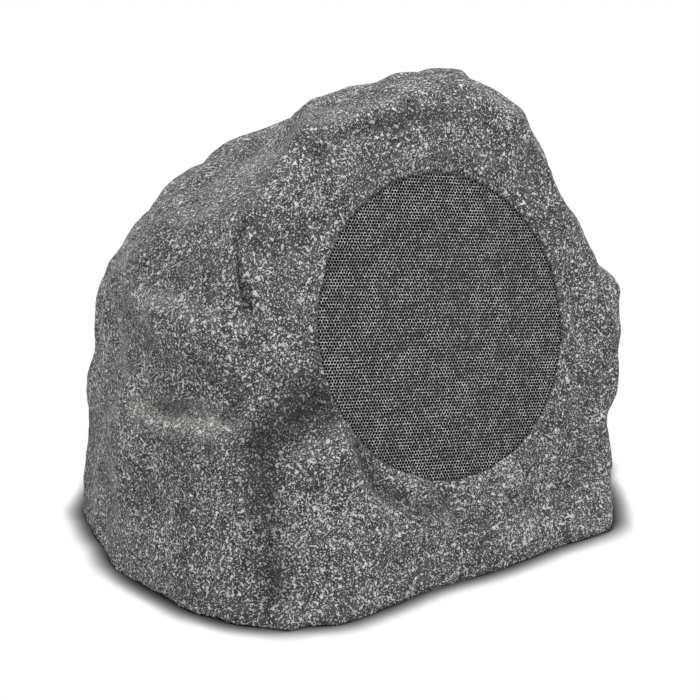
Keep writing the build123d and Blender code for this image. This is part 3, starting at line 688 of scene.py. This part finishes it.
def free_skin(points, inside):
    """How far each vertex may move: none inside and at the edges of the openings."""
    radius, height = grille_polar(points)[:2]
    at_opening = np.where(height > -OPENING_DEPTH, beside_grille(radius), 1.0)
    at_gland = step(gland_distance(points), *GLAND_BAND)
    return np.where(inside, 0.0, at_opening * at_gland)


def waves(points, size, seed):
    """Noise between about -1 and 1 at each point."""
    shift = Vector((seed * 17.3, seed * 7.7, seed * 3.1))
    return np.array([noise.noise(Vector(p) / size + shift) for p in points])


def on_skin(points, place):
    """Skin point nearest to a place given in millimetres."""
    return points[np.argmin(np.linalg.norm(points - np.array(place) * MM, axis=1))]


def from_path(points, line):
    """Distance of points from a path laid on the skin, and their height over it."""
    path = [on_skin(points, place) for place in line]
    near = np.full(len(points), np.inf)
    over = np.zeros(len(points))
    for start, end in zip(path, path[1:]):
        along = end - start
        share = np.clip((points - start) @ along / (along @ along), 0.0, 1.0)
        away = points - start - share[:, None] * along
        distance = np.linalg.norm(away, axis=1)
        closer = distance < near
        near = np.where(closer, distance, near)
        over = np.where(closer, away[:, 2], over)
    return near, over


def worn_marks(points):
    """Height that the marks add at each point, the painted shade in the hollows and the dust with painted
    highlight on the ledges.
    """
    rise = np.zeros(len(points))
    painted_shade = np.zeros(len(points))
    dust = np.zeros(len(points))
    wander = WANDER * waves(points, WANDER_SIZE, 9)
    # Creases and pits are dug in, and painted shade is laid in them
    for line, half, depth, painted_shade_share in CREASES:
        near = from_path(points, line)[0] + wander
        share = 1 - step(np.abs(near), 0.0, 2 * half * MM)
        rise -= depth * MM * share
        painted_shade = np.maximum(painted_shade, painted_shade_share * share)
    for middle, half, depth in PITS:
        near = np.linalg.norm(points - on_skin(points, middle), axis=1) + wander
        share = 1 - step(near, 0.0, 2 * half * MM)
        rise -= depth * MM * share
        painted_shade = np.maximum(painted_shade, PIT_PAINTED_SHADE * share)
    # Ledges step out, and pale dust with painted highlight is laid on their tops
    for line, half, out, ledge_dust_and_highlight in LEDGES:
        near, over = from_path(points, line)
        turn = (over + wander) / (half * MM)
        fade = np.exp(-((near / (half * MM)) ** 2) * LEDGE_FADE)
        rise -= out * MM * LEDGE_SLOPE * turn * fade
        dust = np.maximum(dust, ledge_dust_and_highlight * fade)
    return rise, painted_shade, dust


def lap_over_grille(points, inside, lip):
    """Draws the stone's rim in over the grille's edge, unevenly, and lays it on the sheet."""
    radius, height, flat = grille_polar(points)
    near = (1 - beside_grille(radius)) * step(height, *LIP_HEIGHTS)
    near = np.where(inside | (radius < GRILLE_R - LIP_REACH), 0.0, near)
    uneven = 1.0 + sum(share * waves(points, size, seed) for share, size, seed in LIP_WAVES)
    draw = near * lip * uneven
    points = points - flat / np.maximum(radius, 1e-6)[:, None] * draw[:, None]
    over = (draw > 0.2 * lip) & (height < LIP_LIFT)
    return points + np.outer(np.where(over, LIP_LIFT - height, 0.0), np.array(FRONT_OUT))


def keep_in_box(points):
    """Holds points inside the packed model's box."""
    low, high = np.array(CAD_BOX[0]), np.array(CAD_BOX[1])
    return np.clip(points, low, high)


def shape_stone(mesh, settings):
    """Softens, swells and wears the skin, and keeps its foot on the ground."""
    points, normals, edges = mesh_arrays(mesh)
    inside = inner_wall(mesh, points, normals)
    free = free_skin(points, inside)
    foot = (points[:, 2] < FOOT_BAND * settings.voxel) & (normals[:, 2] < FOOT_FACING)
    for _ in range(settings.soften):
        points += SOFTEN_SHARE * free[:, None] * (neighbour_mean(points, edges) - points)
    mesh.vertices.foreach_set("co", points.ravel())
    mesh.update()
    points, normals = mesh_arrays(mesh)[:2]
    outer = np.flatnonzero(free > 0.0)
    rise = np.zeros(len(points))
    rise[outer] = (
        settings.swell * waves(points[outer], settings.swell_size, 1)
        + settings.lump * waves(points[outer], settings.lump_size, 2)
        + settings.grain * waves(points[outer], settings.grain_size, 3)
    )
    marks, painted_shade, dust = worn_marks(points[outer])
    rise[outer] += marks
    points += (free * rise)[:, None] * normals
    points = lap_over_grille(points, inside, settings.lip)
    points[foot, 2] = CAD_BOX[0][2]
    mesh.vertices.foreach_set("co", keep_in_box(points).ravel())
    mesh.update()
    # Painted shade and the dust with painted highlight are stored for the stone's colour
    for name, shares in (("painted_shade", painted_shade), ("dust", dust)):
        all_points = np.zeros(len(points), dtype=np.float32)
        all_points[outer] = shares
        mesh.attributes.new(name, "FLOAT", "POINT").data.foreach_set("value", all_points)
    return inside


def thin_inside(piece, inside):
    """Fewer faces where the skin faces the hollow."""
    group = piece.vertex_groups.new(name="inside")
    group.add([int(i) for i in np.flatnonzero(inside)], 1.0, "REPLACE")
    fewer = piece.modifiers.new("fewer", "DECIMATE")
    fewer.vertex_group = "inside"
    fewer.vertex_group_factor = INSIDE_WEIGHT
    fewer.ratio = 1.0 - INSIDE_LEFT_OUT * inside.mean()
    bake_modifiers(piece)


def mark_hollows(mesh):
    """Stores how hollow the surface is at each vertex, for the painted shade in the stone's colour."""
    points, normals, edges = mesh_arrays(mesh)
    bend = ((neighbour_mean(points, edges) - points) * normals).sum(axis=1)
    for _ in range(HOLLOW_PASSES):
        bend = neighbour_mean(bend[:, None], edges)[:, 0]
    layer = mesh.attributes.new("hollow", "FLOAT", "POINT")
    layer.data.foreach_set("value", np.clip(bend / FULL_HOLLOW, 0.0, 1.0).astype(np.float32))


class SPEAKER_OT_stone(bpy.types.Operator):
    """Builds the stone skin over the moulded rock"""

    bl_idname = "speaker.stone"
    bl_label = "Stone skin"

    def execute(self, context):
        settings = context.scene.rock_settings
        skin = voxel_copy("rock_shell", "rock_skin", settings.voxel)
        inside = shape_stone(skin.data, settings)
        thin_inside(skin, inside)
        mark_hollows(skin.data)
        skin.data.shade_smooth()
        skin.data.materials.append(granite(settings))
        dress(skin, "rock_shell")
        return {"FINISHED"}


# Grille


def hole_lattice(settings, reach):
    """Middles of the holes on their lattice, by lattice index."""
    pitch = settings.pitch
    across = int(reach / pitch * 1.2) + 2
    middles = {}
    for i in range(-across, across + 1):
        for j in range(-across, across + 1):
            x = pitch * (i + j / 2)
            y = pitch * j * sin(pi / 3)
            if x * x + y * y < reach * reach:
                turn = settings.row_turn
                middles[i, j] = (x * cos(turn) - y * sin(turn), x * sin(turn) + y * cos(turn))
    return middles


NEXT_HOLES = ((1, 0), (0, 1), (-1, 1), (-1, 0), (0, -1), (1, -1))


def web_faces(index):
    """Faces between neighbouring holes, six corners to a hole."""
    faces = []
    for (i, j), hole in index.items():
        own = hole * CORNERS
        beside = [index.get((i + a, j + b)) for a, b in NEXT_HOLES]
        for k in range(3):
            if beside[k] is not None:
                other = beside[k] * CORNERS
                near = (own + (k + 5) % CORNERS, own + k)
                far = (other + (k + 3) % CORNERS, other + (k + 2) % CORNERS)
                faces.append((near[0], far[0], far[1], near[1]))
        for k in range(2):
            if beside[k] is not None and beside[k + 1] is not None:
                one = beside[k] * CORNERS + (k + 2) % CORNERS
                two = beside[k + 1] * CORNERS + (k + 4) % CORNERS
                faces.append((own + k, one, two))
    return faces


def outline_edges(faces, holes):
    """Edges round the web and its holes taken together."""
    seen = {}
    loops = list(faces) + [tuple(range(CORNERS * h, CORNERS * (h + 1))) for h in range(holes)]
    for loop in loops:
        for a, b in zip(loop, loop[1:] + loop[:1]):
            key = (min(a, b), max(a, b))
            seen[key] = seen.get(key, 0) + 1
    return [edge for edge, times in seen.items() if times == 1]


def outline_loop(edges):
    """Vertices of a closed outline in order."""
    beside = {}
    for a, b in edges:
        beside.setdefault(a, []).append(b)
        beside.setdefault(b, []).append(a)
    loop = [edges[0][0], edges[0][1]]
    while loop[-1] != loop[0]:
        one, other = beside[loop[-1]]
        loop.append(other if one == loop[-2] else one)
    return loop[:-1]


def inside_loop(point, loop):
    """Whether a point lies inside a closed loop of points."""
    start, end = loop, np.roll(loop, -1, axis=0)
    crosses = (start[:, 1] > point[1]) != (end[:, 1] > point[1])
    rise = np.where(crosses, end[:, 1] - start[:, 1], 1.0)
    at = start[:, 0] + (point[1] - start[:, 1]) * (end[:, 0] - start[:, 0]) / rise
    return bool(np.count_nonzero(crosses & (point[0] < at)) % 2)


def rim_faces(corners, outline, circle, first):
    """Faces between the web's outline and a circle whose vertices start at an index."""
    flat = [Vector(corners[v]) for v in outline] + [Vector(p) for p in circle]
    loop = np.array([corners[v] for v in outline])
    inner = [(i, (i + 1) % len(outline)) for i in range(len(outline))]
    found = delaunay_2d_cdt(flat, inner, [], 0, 1e-8)
    names = outline + [first + i for i in range(len(circle))]
    faces = []
    for face in found[2]:
        middle = sum((found[0][v] for v in face), Vector((0.0, 0.0))) / 3
        if not inside_loop(middle, loop):
            faces.append(tuple(names[found[3][v][0]] for v in face))
    return faces


def circle_points(radius, count):
    """Even points on a circle."""
    return [(radius * cos(2 * pi * i / count), radius * sin(2 * pi * i / count)) for i in range(count)]


def ring_faces(first, second, count):
    """Faces between two circles of vertices."""
    return [
        (first + i, second + i, second + (i + 1) % count, first + (i + 1) % count) for i in range(count)
    ]


def facing_front(points, faces, shift=0):
    """Faces turned so that their flat side looks outward; a shift leads to the vertices they stand for."""
    turned = []
    for face in faces:
        a, b, c = (points[v + shift] for v in face[:3])
        area = (b[0] - a[0]) * (c[1] - a[1]) - (b[1] - a[1]) * (c[0] - a[0])
        turned.append(face if area > 0 else face[::-1])
    return turned


def grille_mesh(settings):
    """Points and faces of the perforated disc in the front's own plane, and how many are web and rim."""
    middles = hole_lattice(settings, GRILLE_R - settings.rim - settings.pitch / 2)
    index = {key: i for i, key in enumerate(middles)}
    corner_r = settings.pitch * settings.hole_share / 2 / cos(pi / 6)
    turns = [settings.row_turn + pi / 6 + k * pi / 3 for k in range(CORNERS)]
    corners = [
        (x + corner_r * cos(turn), y + corner_r * sin(turn)) for x, y in middles.values() for turn in turns
    ]
    web = web_faces(index)
    outline = outline_loop(outline_edges(web, len(index)))
    holes = len(corners)
    round_edge = settings.sheet / 2
    rings = (
        (GRILLE_R - round_edge, 0.0),
        (GRILLE_R, -round_edge),
        (GRILLE_R, -settings.skirt),
        (GRILLE_R - settings.sheet, -settings.skirt),
        (GRILLE_R - settings.sheet, -settings.sheet),
    )
    points = [(x, y, 0.0) for x, y in corners] + [(x, y, -settings.sheet) for x, y in corners]
    starts = []
    for radius, height in rings:
        starts.append(len(points))
        points += [(x, y, height) for x, y in circle_points(radius, DISC_POINTS)]
    front = web + rim_faces(corners, outline, circle_points(rings[0][0], DISC_POINTS), starts[0])
    back = web + rim_faces(corners, outline, circle_points(rings[-1][0], DISC_POINTS), starts[-1] - holes)
    faces = facing_front(points, front)
    faces += [tuple(v + holes for v in face[::-1]) for face in facing_front(points, back, holes)]
    for hole in range(len(index)):
        for k in range(CORNERS):
            a = CORNERS * hole + k
            b = CORNERS * hole + (k + 1) % CORNERS
            faces.append((a, b, b + holes, a + holes))
    for first, second in zip(starts, starts[1:]):
        faces += ring_faces(first, second, DISC_POINTS)
    return points, faces, len(web), len(front) - len(web)


def onto_front(points):
    """Points of the front's own plane in the part's frame."""
    return [GRILLE_MIDDLE + FRONT_RIGHT * x + FRONT_UP * y + FRONT_OUT * z for x, y, z in points]


class SPEAKER_OT_grille(bpy.types.Operator):
    """Builds the finely perforated grille"""

    bl_idname = "speaker.grille"
    bl_label = "Perforated grille"

    def execute(self, context):
        settings = context.scene.grille_settings
        points, faces, web, rim = grille_mesh(settings)
        paint = speckled_paint(settings)
        piece = new_piece("grille_mesh", onto_front(points), faces, paint, "grille")
        piece.data.materials.append(plain_coat(settings, "grille_rim_paint", 0.45, 0.65))
        # Painted shade: hole walls, back and edges are coated near black so that the holes look dark
        piece.data.materials.append(plain_coat(settings, "grille_hole_painted_shade", 0.02, 0.06))
        coats = [0] * web + [1] * rim + [2] * (len(faces) - web - rim)
        piece.data.polygons.foreach_set("material_index", coats)
        return {"FINISHED"}


# Finishes of the packed pieces


class SPEAKER_OT_driver(bpy.types.Operator):
    """Finishes the woofer and the tweeter behind the grille"""

    bl_idname = "speaker.driver"
    bl_label = "Driver finishes"

    def execute(self, context):
        finish_nodes("grille_scrim", "driver_gasket", "driver_basket", "surround", "cone", "dust_cap")
        finish_nodes("voice_coil", "spider", "front_plate", "magnet", "pole_yoke", "driver_screws")
        finish_nodes("tweeter_bridge", "tweeter_body", "tweeter_dome", "bridge_screws")
        return {"FINISHED"}


class SPEAKER_OT_base(bpy.types.Operator):
    """Finishes the base plate and the crossover on it"""

    bl_idname = "speaker.base"
    bl_label = "Base finishes"

    def execute(self, context):
        finish_nodes("base_plate", "base_gasket", "base_screws", "crossover_board", "board_screws")
        finish_nodes("capacitors", "inductors", "resistor", "terminal_block", "tag_strip", "driver_lead")
        return {"FINISHED"}


class SPEAKER_OT_gland(bpy.types.Operator):
    """Finishes the cable gland"""

    bl_idname = "speaker.gland"
    bl_label = "Gland finishes"

    def execute(self, context):
        finish_nodes("gland_washer", "gland_body", "gland_seal", "gland_cap", "gland_nut")
        return {"FINISHED"}


# Stage


def seen_directly(tree):
    """One for rays that show the stage itself: from the camera, a mirror or a glass."""
    path = add_node(tree, "ShaderNodeLightPath")
    shown = figure(tree, "MAXIMUM", path.outputs["Is Camera Ray"], path.outputs["Is Glossy Ray"])
    return figure(tree, "MAXIMUM", shown, path.outputs["Is Transmission Ray"])


def floor_material(settings):
    """White floor that keeps a narrow contact shadow."""
    material, tree, shader = new_material("floor_white")
    feed(tree, shader, Base_Color=opaque(settings.floor), Roughness=0.9)
    near = add_node(tree, "ShaderNodeAmbientOcclusion", {"Distance": SHADOW_REACH}, samples=24).outputs["AO"]
    shadow = figure(tree, "POWER", near, SHADOW_POWER)
    glow = add_node(tree, "ShaderNodeEmission", {"Strength": shadow})
    both = add_node(tree, "ShaderNodeMixShader", {0: seen_directly(tree)})
    tree.links.new(shader.outputs[0], both.inputs[1])
    tree.links.new(glow.outputs[0], both.inputs[2])
    tree.links.new(both.outputs[0], tree.nodes["Material Output"].inputs["Surface"])
    return material


def add_floor(settings):
    """Large plain floor on the ground."""
    half = FLOOR_HALF
    corners = [(-half, -half, 0), (half, -half, 0), (half, half, 0), (-half, half, 0)]
    mesh = bpy.data.meshes.new("floor")
    mesh.from_pydata(corners, [], [(0, 1, 2, 3)])
    mesh.materials.append(floor_material(settings))
    floor = bpy.data.objects.new("floor", mesh)
    bpy.context.scene.collection.objects.link(floor)


def light_sky(settings):
    """Even light all round, shown as white."""
    world = bpy.data.worlds.new("studio")
    world.use_nodes = True
    tree = world.node_tree
    back = tree.nodes["Background"]
    back.inputs["Color"].default_value = (1.0, 1.0, 1.0, 1.0)
    strength = spread(tree, seen_directly(tree), 0.0, 1.0, settings.world, 1.0)
    tree.links.new(strength, back.inputs["Strength"])
    bpy.context.scene.world = world


def add_lamp(name, place, size, power, colour):
    """Soft square lamp turned towards the speaker."""
    data = bpy.data.lights.new(name, "AREA")
    data.size = size
    data.energy = power
    data.color = colour
    lamp = bpy.data.objects.new(name, data)
    lamp.location = place
    lamp.rotation_euler = (Vector(LAMP_TARGET) - Vector(place)).to_track_quat("-Z", "Y").to_euler()
    bpy.context.scene.collection.objects.link(lamp)


def add_camera(settings):
    """Camera that sees the grille's middle where the photograph has it."""
    turn, rise = settings.azimuth, settings.elevation
    back = Vector((sin(turn) * cos(rise), -cos(turn) * cos(rise), sin(rise)))
    right = Vector((cos(turn), sin(turn), 0.0))
    up = back.cross(right)
    aside = settings.distance / settings.focal
    place = GRILLE_MIDDLE + back * settings.distance
    place -= (right * settings.grille_seen[0] + up * settings.grille_seen[1]) * aside
    data = bpy.data.cameras.new("camera")
    data.sensor_width = SENSOR_WIDTH
    data.lens = settings.focal * data.sensor_width
    camera = bpy.data.objects.new("camera", data)
    camera.matrix_world = Matrix.Translation(place) @ Matrix((right, up, back)).transposed().to_4x4()
    bpy.context.scene.collection.objects.link(camera)
    bpy.context.scene.camera = camera


class SPEAKER_OT_stage(bpy.types.Operator):
    """Sets up the floor, the light and the camera"""

    bl_idname = "speaker.stage"
    bl_label = "Stage"

    def execute(self, context):
        settings = context.scene.stage_settings
        context.scene.view_settings.view_transform = "Standard"
        add_floor(settings)
        light_sky(settings)
        add_lamp("key", KEY_PLACE, KEY_SIZE, settings.key, KEY_COLOUR)
        add_lamp("fill", FILL_PLACE, FILL_SIZE, settings.fill, FILL_COLOUR)
        add_camera(settings)
        return {"FINISHED"}


class SPEAKER_PT_panel(bpy.types.Panel):
    """Lists the steps that dress the speaker"""

    bl_idname = "SPEAKER_PT_panel"
    bl_label = "Rock Speaker"
    bl_space_type = "VIEW_3D"
    bl_region_type = "UI"
    bl_category = "Rock Speaker"

    def draw(self, context):
        for step_class in STEPS:
            self.layout.operator(step_class.bl_idname)
        for name, group in GROUPS:
            box = self.layout.box()
            box.label(text=group.__doc__)
            settings = getattr(context.scene, name)
            for value in group.__annotations__:
                box.prop(settings, value)


STEPS = (
    SPEAKER_OT_stone,
    SPEAKER_OT_grille,
    SPEAKER_OT_driver,
    SPEAKER_OT_base,
    SPEAKER_OT_gland,
    SPEAKER_OT_stage,
)
GROUPS = (
    ("rock_settings", RockSettings),
    ("grille_settings", GrilleSettings),
    ("stage_settings", StageSettings),
)


def register():
    """Adds the classes and the scene's settings."""
    for name, group in GROUPS:
        bpy.utils.register_class(group)
        setattr(bpy.types.Scene, name, bpy.props.PointerProperty(type=group))
    for step_class in STEPS:
        bpy.utils.register_class(step_class)
    bpy.utils.register_class(SPEAKER_PT_panel)


def unregister():
    """Takes the classes and the settings away again."""
    bpy.utils.unregister_class(SPEAKER_PT_panel)
    for step_class in reversed(STEPS):
        bpy.utils.unregister_class(step_class)
    for name, group in reversed(GROUPS):
        delattr(bpy.types.Scene, name)
        bpy.utils.unregister_class(group)


def main():
    """Dresses the speaker step by step."""
    register()
    bpy.ops.speaker.stone()
    bpy.ops.speaker.grille()
    bpy.ops.speaker.driver()
    bpy.ops.speaker.base()
    bpy.ops.speaker.gland()
    bpy.ops.speaker.stage()


if __name__ == "__main__":
    main()
